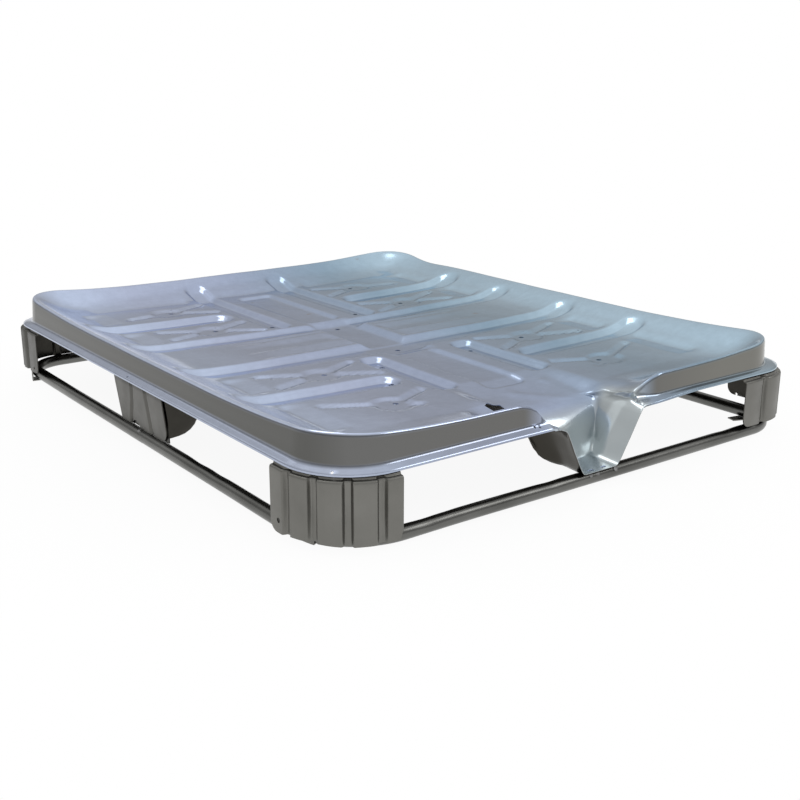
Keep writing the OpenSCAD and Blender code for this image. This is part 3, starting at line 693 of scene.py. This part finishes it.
# place of each dent on the tube, how deep, how long
DENTS = [
    ((-479, 560, 20), 1.2, 18), ((-479, -190, 22), 1.3, 26), ((-479, -255, 24), 1.0, 22),
    ((-330, -583, 22), 1.4, 24), ((-290, -583, 20), 0.9, 16), ((-90, -583, 22), 1.0, 20),
    ((330, -583, 22), 1.1, 18), ((479, -60, 22), 1.2, 26), ((120, 583, 22), 1.2, 30),
]


def ring_path(step):
    """The tube's middle line, anticlockwise, with straight runs between quarter bends."""
    found = []
    for q, (sx, sy) in enumerate(((1, 1), (-1, 1), (-1, -1), (1, -1))):
        turn = np.radians(np.linspace(90 * q, 90 * q + 90, 31))
        middle = np.array([sx * (RING_X - BENDS[q]), sy * (RING_Y - BENDS[q])])
        found.append(middle + BENDS[q] * np.stack([np.cos(turn), np.sin(turn)], axis=-1))
    runs = []
    for here, following in zip(found, found[1:] + found[:1]):
        length = np.linalg.norm(following[0] - here[-1])
        share = np.arange(1, int(length / step))[:, None] / int(length / step)
        runs += [here, mix(here[-1], following[0], share)]
    return np.concatenate(runs)


path = ring_path(6.0)
flow = np.roll(path, -1, axis=0) - np.roll(path, 1, axis=0)
flow /= np.linalg.norm(flow, axis=1, keepdims=True)
out = np.stack([flow[:, 1], -flow[:, 0]], axis=-1)
around = np.radians(np.arange(0, 360, 11.25))
so_far = np.concatenate([[0], np.cumsum(np.linalg.norm(np.diff(path, axis=0), axis=1))])
sway = 0.35 * np.sin(so_far / 170 + 0.7) + 0.2 * np.sin(so_far / 61)
tube = np.zeros((len(path), len(around), 3))
sideways = sway[:, None] + TUBE_R * np.cos(around)[None, :]
tube[..., :2] = path[:, None, :] + sideways[..., None] * out[:, None, :]
lift = 2.2 * np.exp(-((path[:, 0] + 250) / 190) ** 2) * (path[:, 1] < 0)
tube[..., 2] = TUBE_Z + lift[:, None] + TUBE_R * np.sin(around)[None, :]
middle_line = np.concatenate([path, np.full((len(path), 1), TUBE_Z)], axis=1)[:, None, :]
for at, depth, length in DENTS:
    gap = tube - np.array(at, float)
    share = np.exp(-(np.linalg.norm(gap[..., :2], axis=-1) / length) ** 2 - (gap[..., 2] / 7.0) ** 2)
    tube -= (depth * share)[..., None] * (tube - middle_line) / TUBE_R
n_path, n_round = tube.shape[:2]
# the tube closes both ways, so the first row and column are used again after the last
ring_quads = grid_faces(np.pad(numbered(n_path, n_round), ((0, 1), (0, 1)), "wrap"))[:, [0, 3, 2, 1]]
ring = mesh_piece("skid_ring_tube", tube.reshape(-1, 3), ring_quads)
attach(ring, "root")
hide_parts("skid_ring")
print("ring", n_path, "x", n_round)

# %% [markdown]
# A middle foot is a leaning plate with two folded grooves, one upright and one slanting, so it can't
# buckle. It stands on the tube, with an arch cut out over the tube and one lower corner rounded off.

# %% Middle feet
MID_TOP_Z, TUBE_TOP_Z, MID_GROOVE, UPRIGHT_FOLD_Y = 116.0, 26.0, 5.0, 31
ARCH_Y, ARCH_Z, ARCH_R = -32.0, 19.0, 18.0


def mid_foot(name, turn_deg, axis_out, lean_deg):
    z = np.concatenate([[26], np.linspace(30, 110, 17), [113.5, MID_TOP_Z]])
    u = np.linspace(0, 1, 85)
    low = -(90 + 4 * (z - 25) / 105)
    rounded = 64 + 26 * np.sqrt(1 - ((50 - np.minimum(z, 50)) / 25.1) ** 2)
    high = np.where(z < 50, rounded, 90 + (z - 50) / 20)
    y = mix(low[:, None], high[:, None], u[None, :])
    slanting = -22 - 30 * (1 - np.clip((z[:, None] - 30) / 78, 0, 1)) ** 1.3
    gap = np.minimum(np.abs(y - UPRIGHT_FOLD_Y), np.abs(y - slanting))
    fold = MID_GROOVE * (1 - soft(gap, 1.5, 6.5))
    bulge = 0.8 * np.sin(y / 21) * np.sin(z[:, None] / 31)
    outer_face = axis_out + 1 + (z[:, None] - TUBE_TOP_Z) * math.tan(math.radians(lean_deg))
    x = np.minimum(outer_face - fold + bulge * (fold < 0.1), outer_face)
    face = np.stack([x, y, np.broadcast_to(z[:, None], x.shape)], axis=-1)
    plate = sheet_piece(name + "_plate", face, FOOT_SHEET)
    cut(plate, drill("arch_drill", [((axis_out, ARCH_Y, ARCH_Z), (1, 0, 0), 2 * ARCH_R, 60)]))
    plate.data.transform(Matrix.Rotation(math.radians(turn_deg), 4, "Z"))
    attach(plate, "root")
    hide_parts(name)
    return plate


middle_feet = [mid_foot("mid_foot_left", 180, RING_X, 6.5), mid_foot("mid_foot_right", 0, RING_X, 6.5),
               mid_foot("mid_foot_back", 90, RING_Y, 2.5)]
print("middle foot faces", [len(f.data.polygons) for f in middle_feet])

# %% [markdown]
# Behind each plate hangs a closed sheet cup, drawn like a pocket. It props the tray's middle, and its
# round bottom and ends stop the fork tips from catching.

# %% Cups behind the middle feet
# profile from the tray down to the plate: how far in from the plate's foot line, and height
CUP_PROFILE = np.array([
    (52, 113), (52, 98), (51.5, 84), (50.5, 72), (48, 62), (43.5, 53), (37, 46), (28, 41), (18, 38.6),
    (8, 37.6), (1.4, 37), (1.2, 34), (1.4, 30), (1.6, 27)])
# half of the cup's length, and how much of the profile's depth it has there
CUP_ALONG = [(0, 1), (20, 1), (45, 1), (68, 1), (80, 1), (84, 0.99), (86.5, 0.965), (88, 0.93),
             (88.8, 0.87), (89.2, 0.7), (89.3, 0.4), (89.4, 0.03)]


def foot_cup(name, turn_deg, foot_line):
    along = [(-y, share) for y, share in CUP_ALONG[::-1]] + CUP_ALONG[1:]
    grid = []
    for y, share in along:
        streak = 0.5 * math.sin(y / 5.5)
        grid.append([(foot_line - (1.17 * inward - streak) * share + (z - 38) * 0.1 * (1 - share), y,
                      113 - (113 - z) * mix(0.75, 1, min(1, share * 1.2))) for inward, z in CUP_PROFILE])
    cup = sheet_piece(name + "_pocket", np.array(grid), FOOT_SHEET)
    cup.data.transform(Matrix.Rotation(math.radians(turn_deg), 4, "Z"))
    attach(cup, "root")
    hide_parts(name)
    return cup


cups = [foot_cup("foot_cup_left", 180, 478.2), foot_cup("foot_cup_right", 0, 478.2),
        foot_cup("foot_cup_back", 90, 581.6)]
print("cup faces", [len(c.data.polygons) for c in cups])

# %% [markdown]
# A flat strap inside each corner foot reaches under the tube and holds the foot down. The near one is
# bent in close to the tube, so its foot's lower edge hides it.

# %% Near strap
def measured_points(name):
    """The corners of a measured solid, in mm."""
    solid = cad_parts[name]
    return np.array([solid.matrix_world @ v.co for v in solid.data.vertices]) / MM


STRAP_NODE, STRAP_INNER_X, STRAP_TOP_Z = "foot_strap_front_left", -447.8, 26
strap_points = measured_points(STRAP_NODE)
strap_points[:, 0] = STRAP_INNER_X + (strap_points[:, 0] - STRAP_INNER_X) * 0.72
strap_points[:, 2] = STRAP_TOP_Z + (strap_points[:, 2] - STRAP_TOP_Z) * 0.78
near_strap = mesh_piece("near_strap_bent", strap_points, [
    tuple(p.vertices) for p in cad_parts[STRAP_NODE].data.polygons], 30)
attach(near_strap, "root")
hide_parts(STRAP_NODE)
print("near strap spans", strap_points.min(0), strap_points.max(0))

# %% [markdown]
# The welds are short beads of molten metal that froze in ripples. Each is a ball of its measured size,
# roughened by sine waves, pressed flat and seated on the tube, so it doesn't look like a ball.

# %% Weld beads
FLATTENED = 0.72


def weld_bead(name):
    corners = measured_points(name)
    middle, half = (corners.min(0) + corners.max(0)) / 2, (corners.max(0) - corners.min(0)) / 2
    core = path[np.argmin(np.hypot(*(path - middle[:2]).T))]
    out_of_tube = middle - np.array([*core, TUBE_Z])
    out_of_tube /= np.linalg.norm(out_of_tube)
    seat = np.array([*core, TUBE_Z]) + (TUBE_R + 0.4) * out_of_tube
    points, rings, spokes = [], 10, 18
    for r in range(rings + 1):
        for k in range(spokes):
            a, b = math.pi * r / rings, 2 * math.pi * k / spokes
            direction = np.array([math.sin(a) * math.cos(b), math.sin(a) * math.sin(b), math.cos(a)])
            rough = 0.9 + 0.07 * math.sin(5 * b + 3 * a) + 0.03 * math.sin(11 * a + 2 * b)
            spot = half * direction * rough
            points.append(seat + spot - FLATTENED * (spot @ out_of_tube) * out_of_tube)
    faces = grid_faces(np.pad(numbered(rings + 1, spokes), ((0, 0), (0, 1)), "wrap"))[:, [0, 3, 2, 1]]
    bead = mesh_piece(name + "_bead", points, faces)
    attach(bead, "root")
    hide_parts(name)
    return bead


weld_beads = [weld_bead(name) for name in sorted(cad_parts) if "weld" in name]
print("weld beads", [b.name for b in weld_beads])

# %% [markdown]
# Galvanised steel is a metal with a skin of zinc. Its colour is light grey with a blue cast, and it reflects
# the surroundings softly. Noise at three sizes gives it patches, crystals and fine scratches, a fourth gives
# stains, and layers stored with the mesh tell where the wall and the underside get painted shade and the
# trough a painted highlight.

# %% Finish of the galvanised sheet
def finish(name, metallic, roughness):
    material = bpy.data.materials.new(name)
    material.use_nodes = True
    shader = material.node_tree.nodes["Principled BSDF"]
    shader.inputs["Metallic"].default_value = metallic
    shader.inputs["Roughness"].default_value = roughness
    return material, material.node_tree, shader


def node(tree, kind):
    return tree.nodes.new("ShaderNode" + kind)


def noise(tree, scale, detail=4.0, stretch=(1, 1, 1)):
    coords = node(tree, "TexCoord")
    place = node(tree, "Mapping")
    place.inputs["Scale"].default_value = stretch
    made = node(tree, "TexNoise")
    made.inputs["Scale"].default_value = scale
    made.inputs["Detail"].default_value = detail
    tree.links.new(coords.outputs["Object"], place.inputs["Vector"])
    tree.links.new(place.outputs["Vector"], made.inputs["Vector"])
    return made.outputs["Fac"]


def ramp(tree, source, stops):
    made = node(tree, "ValToRGB")
    elements = made.color_ramp.elements
    while len(elements) < len(stops):
        elements.new(0.5)
    for element, (at, colour) in zip(elements, stops):
        element.position = at
        element.color = (*colour, 1) if isinstance(colour, tuple) else (colour, colour, colour, 1)
    tree.links.new(source, made.inputs["Fac"])
    return made.outputs["Color"]


def blend(tree, share, a, b, mode="MIX"):
    made = node(tree, "Mix")
    made.data_type, made.blend_type = "RGBA", mode
    for socket, value in (("Factor", share), ("A", a), ("B", b)):
        kind = "VALUE" if socket == "Factor" else "RGBA"
        target = next(i for i in made.inputs if i.name == socket and i.type == kind)
        if isinstance(value, (int, float, tuple)):
            target.default_value = (*value, 1) if isinstance(value, tuple) else value
        else:
            tree.links.new(value, target)
    return next(o for o in made.outputs if o.type == "RGBA")


def stored(tree, name):
    made = node(tree, "Attribute")
    made.attribute_name = name
    return made.outputs["Fac"]


def bumped(tree, shader, source, strength, distance):
    made = node(tree, "Bump")
    made.inputs["Strength"].default_value = strength
    made.inputs["Distance"].default_value = distance
    tree.links.new(source, made.inputs["Height"])
    tree.links.new(made.outputs["Normal"], shader.inputs["Normal"])


def generated(tree):
    """Places in the object's own box, 0 to 1 along each axis."""
    made = node(tree, "SeparateXYZ")
    tree.links.new(node(tree, "TexCoord").outputs["Generated"], made.inputs["Vector"])
    return made.outputs


def dress(pieces, material):
    for piece in pieces:
        piece.data.materials.clear()
        piece.data.materials.append(material)


sheet, tree, shader = finish("galvanised_sheet", 1.0, 0.24)
patches = ramp(tree, noise(tree, 3.2, 3), [
    (0.3, (0.56, 0.63, 0.80)), (0.55, (0.61, 0.68, 0.86)), (0.75, (0.65, 0.72, 0.91))])
crystals = ramp(tree, noise(tree, 60, 3), [(0.3, 0.93), (0.7, 1.0)])
scratches = ramp(tree, noise(tree, 22, 5, (1, 12, 12)), [(0.35, 0.975), (0.6, 1.0)])
top = blend(tree, 1.0, patches, blend(tree, 1.0, crystals, scratches, "MULTIPLY"), "MULTIPLY")
# painted light across the tray: the left part is painted brighter and the middle duller; the right part has
# a green tint
painted_side_light_and_tint = ramp(tree, generated(tree)["X"], [
    (0.03, (1.0, 1.0, 1.0)), (0.10, (0.92, 0.95, 0.97)), (0.25, (0.76, 0.76, 0.79)),
    (0.5, (0.64, 0.67, 0.71)), (0.75, (0.48, 0.60, 0.60)), (0.92, (0.74, 0.88, 0.83))])
top = blend(tree, 1.0, top, painted_side_light_and_tint, "MULTIPLY")
stains = ramp(tree, noise(tree, 17, 2), [(0.73, 0.0), (0.77, 0.45)])
top = blend(tree, stains, top, (0.30, 0.25, 0.22))
# painted highlight: the trough's bowl is painted brighter and more neutral, for the light it catches
top = blend(tree, stored(tree, "trough"), top, (0.50, 0.545, 0.56))
# painted shade: the rim's outer wall is painted dark grey, darkest at the far left, for the dark ground it
# reflects
wall_painted_shade = ramp(tree, generated(tree)["X"], [
    (0.004, (0.10, 0.10, 0.094)), (0.05, (0.15, 0.15, 0.147)), (0.6, (0.15, 0.148, 0.142)),
    (0.8, (0.19, 0.187, 0.17))])
walled = blend(tree, stored(tree, "outer_wall"), top, wall_painted_shade)
# painted shade: the sheet's lower side is painted nearly black
colour = blend(tree, stored(tree, "underside"), walled, (0.045, 0.042, 0.036))
tree.links.new(colour, shader.inputs["Base Color"])
tree.links.new(ramp(tree, noise(tree, 11, 6), [(0.3, 0.16), (0.7, 0.22)]), shader.inputs["Roughness"])
bumped(tree, shader, noise(tree, 100, 3), 0.03, 0.0004)
dress([deck], sheet)
print("sheet finish of", len(tree.nodes), "shader nodes")

# %% [markdown]
# The feet are the same zinc, but dull and painted dark warm grey: painted shade for the dark ground they
# reflect.

# %% Finish of the feet, the tube and the welds
# grey tones that vary at random; their darkness is painted shade for the dark ground the feet reflect
FOOT_TONES = ((0.3, (0.165, 0.162, 0.148)), (0.6, (0.20, 0.197, 0.182)), (0.8, (0.24, 0.238, 0.222)))


def foot_metal(name, share, shaded=False):
    """The feet's grey at a share of its strength; shaded ones get a painted shadow under the tray's lip."""
    made, tree, shader = finish(name, 0.9, 0.42)
    stops = [(at, tuple(v * share for v in tone)) for at, tone in FOOT_TONES]
    outside = ramp(tree, noise(tree, 6, 5), stops)
    # painted shade: the inner side of the sheet is painted nearly black
    tone = blend(tree, stored(tree, "underside"), outside, (0.055, 0.052, 0.045))
    if shaded:
        # painted shadow: the top of the piece is painted nearly black where the tray's lip shades it
        upper = ramp(tree, generated(tree)["Z"], [(0.80, 0.0), (0.93, 1.0)])
        tone = blend(tree, upper, tone, (0.02, 0.02, 0.018))
    tree.links.new(tone, shader.inputs["Base Color"])
    tree.links.new(ramp(tree, noise(tree, 25, 6), [(0.3, 0.34), (0.7, 0.48)]), shader.inputs["Roughness"])
    bumped(tree, shader, noise(tree, 160, 4), 0.10, 0.0006)
    return made


# the second finish is the same grey at 0.6: painted shade for the back left foot
feet_finish, painted_shadow_foot_finish = foot_metal("foot_sheet", 1.0), foot_metal("painted_shadow_foot_sheet", 0.6)
# painted shade: the middle feet and cups are painted darker, with a painted shadow under the lip
middle_shade_finish = foot_metal("middle_foot_painted_shade_sheet", 0.62, True)

tube_finish, tree, shader = finish("galvanised_tube", 1.0, 0.28)
# painted shade: the tube is painted dark, for the dark ground it reflects
tone = ramp(tree, noise(tree, 9, 6), [(0.3, (0.10, 0.10, 0.094)), (0.7, (0.17, 0.17, 0.162))])
tree.links.new(tone, shader.inputs["Base Color"])
bumped(tree, shader, noise(tree, 60, 2), 0.015, 0.0004)

weld_finish, tree, shader = finish("weld_bead", 0.9, 0.5)
tree.links.new(ramp(tree, noise(tree, 300, 5), [(0.3, 0.16), (0.7, 0.36)]), shader.inputs["Base Color"])
bumped(tree, shader, noise(tree, 400, 4), 0.5, 0.0012)

dress([ring], tube_finish)
dress(cups + middle_feet, middle_shade_finish)
dress([near_strap] + corner_feet, feet_finish)
# the back left foot is painted darker: painted shade for the tray's shadow
dress([corner_feet[2]], painted_shadow_foot_finish)
dress(weld_beads, weld_finish)
for name, node_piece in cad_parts.items():
    wanted = weld_finish if "weld" in name else feet_finish if name.startswith("foot_") else None
    if wanted:
        for slot in node_piece.material_slots:
            slot.material = wanted
finishes = (sheet, feet_finish, painted_shadow_foot_finish, middle_shade_finish, tube_finish, weld_finish)
print("finishes", [material.name for material in finishes])

# %% [markdown]
# The floor is a plain pale studio floor. Far from the object it is white of itself, so floor and
# backdrop meet without a line. Near the object it is half lit by the lamps, so it keeps the shadow.

# %% Floor
FLOOR_SIZE = 60
# middle and half sizes of the part of the floor that lies hidden under the tray
UNDER_MIDDLE, UNDER_HALF = (0.108, 0.28, 0), (0.37, 0.56, 1)
bpy.ops.mesh.primitive_plane_add(size=FLOOR_SIZE)
floor = bpy.context.active_object
floor.name = "studio_floor"
pale = bpy.data.materials.new("pale_floor")
pale.use_nodes = True
tree = pale.node_tree
tree.nodes.clear()


def maths(kind, operation, *sources):
    """A node of maths: a tuple sets its input, and anything else is linked to it."""
    made = node(tree, kind)
    made.operation = operation
    for source, socket in zip(sources, made.inputs):
        if isinstance(source, tuple):
            socket.default_value = source
        else:
            tree.links.new(source, socket)
    return made


def fade_node(source, start, end, low=0.0, high=1.0):
    made = node(tree, "MapRange")
    made.interpolation_type = "SMOOTHSTEP"
    for socket, value in (("From Min", start), ("From Max", end), ("To Min", low), ("To Max", high)):
        made.inputs[socket].default_value = value
    tree.links.new(source, made.inputs["Value"])
    return made.outputs["Result"]


lit = node(tree, "BsdfDiffuse")
lit.inputs["Color"].default_value = (0.86, 0.86, 0.86, 1)
glow = node(tree, "Emission")
rays = node(tree, "LightPath")
seen = maths("Math", "ADD", rays.outputs["Is Camera Ray"], rays.outputs["Is Glossy Ray"])
seen.use_clamp = True
spot = node(tree, "TexCoord").outputs["Object"]
far = fade_node(maths("VectorMath", "LENGTH", spot).outputs["Value"], 0.5, 1.0, 0.93, 1.0)
far_seen = maths("Math", "MULTIPLY", seen.outputs[0], far)
# the floor right under the tray doesn't glow, so it shows dark through the holes
from_middle = maths("VectorMath", "SUBTRACT", spot, UNDER_MIDDLE).outputs["Vector"]
in_halves = maths("VectorMath", "DIVIDE", from_middle, UNDER_HALF).outputs["Vector"]
both_ways = node(tree, "SeparateXYZ")
tree.links.new(maths("VectorMath", "ABSOLUTE", in_halves).outputs["Vector"], both_ways.inputs["Vector"])
farther = maths("Math", "MAXIMUM", both_ways.outputs["X"], both_ways.outputs["Y"])
open_floor = maths("Math", "MULTIPLY", far_seen.outputs[0], fade_node(farther.outputs[0], 0.93, 1.0))
mixed = node(tree, "MixShader")
end = node(tree, "OutputMaterial")
for source, socket in zip((open_floor, lit, glow, mixed), (*mixed.inputs, end.inputs["Surface"])):
    tree.links.new(source.outputs[0], socket)
floor.data.materials.append(pale)
print("floor", FLOOR_SIZE, "m wide")

# %% [markdown]
# The room is white at the horizon, darker just above it and pale overhead, as in a studio with a white
# sweep and a large soft ceiling light. Steel shows the room, so this makes the slopes bright or dark.

# %% Room and lamps
room = bpy.data.worlds.new("studio")
bpy.context.scene.world = room
room.use_nodes = True
tree = room.node_tree
tree.nodes.clear()
sky = node(tree, "Background")
end = node(tree, "OutputWorld")
# how high a direction points, and how bright the room is there
tree.links.new(ramp(tree, generated(tree)["Z"], [
    (0.055, 1.0), (0.11, 0.44), (0.17, 0.37), (0.30, 0.54), (0.50, 0.68), (0.70, 0.82), (0.87, 0.95),
    (1.0, 0.9)]), sky.inputs["Color"])
tree.links.new(sky.outputs[0], end.inputs["Surface"])


def soft_lamp(name, at, target, size, power, length=None):
    data = bpy.data.lights.new(name, "AREA")
    data.shape, data.size, data.energy = "DISK" if length is None else "RECTANGLE", size, power
    data.size_y = length or size
    lamp = bpy.data.objects.new(name, data)
    bpy.context.collection.objects.link(lamp)
    lamp.location = at
    lamp.rotation_euler = (Vector(target) - Vector(at)).to_track_quat("-Z", "Y").to_euler()
    return lamp


key = soft_lamp("key_above", (-0.5, 0.9, 3.0), (0, 0, 0.1), 1.8, 14)
key.data.specular_factor = 0.3
lamps = [key, soft_lamp("strip_left", (-1.35, 2.2, 1.75), (-0.48, 0, 0), 0.5, 0.9, 1.4),
         soft_lamp("strip_right", (1.72, -2.2, 1.9), (0, -0.58, 0), 1.0, 10, 1.0)]
print("lamps", {lamp.name: lamp.data.energy for lamp in lamps})

# %% [markdown]
# The camera was solved from the photograph's own outlines: where it stood, how it was tilted and how
# long its lens was. It stands low in front of the left front corner.

# %% Camera
FOCAL_PX, PHOTO_PX, SENSOR = 1127.41, 800, 36.0
data = bpy.data.cameras.new("photo_camera")
data.sensor_width, data.lens = SENSOR, FOCAL_PX / PHOTO_PX * SENSOR
data.shift_x, data.shift_y = 0.00395, 0.0003
data.clip_start, data.clip_end = 0.05, 200
camera = bpy.data.objects.new("photo_camera", data)
bpy.context.collection.objects.link(camera)
CAMERA_AT, AZIMUTH, DOWN, ROLL = (-1.2273, -1.7192, 0.6417), 36.784, 17.045, 0.20
turn, tilt, roll = (Matrix.Rotation(math.radians(v), 4, axis)
                    for v, axis in ((-AZIMUTH, "Z"), (90 - DOWN, "X"), (ROLL, "Z")))
camera.matrix_world = Matrix.Translation(CAMERA_AT) @ turn @ tilt @ roll
bpy.context.scene.camera = camera
bpy.context.scene.view_settings.view_transform = "Standard"
print("lens", round(data.lens, 2), "mm, camera at", CAMERA_AT)
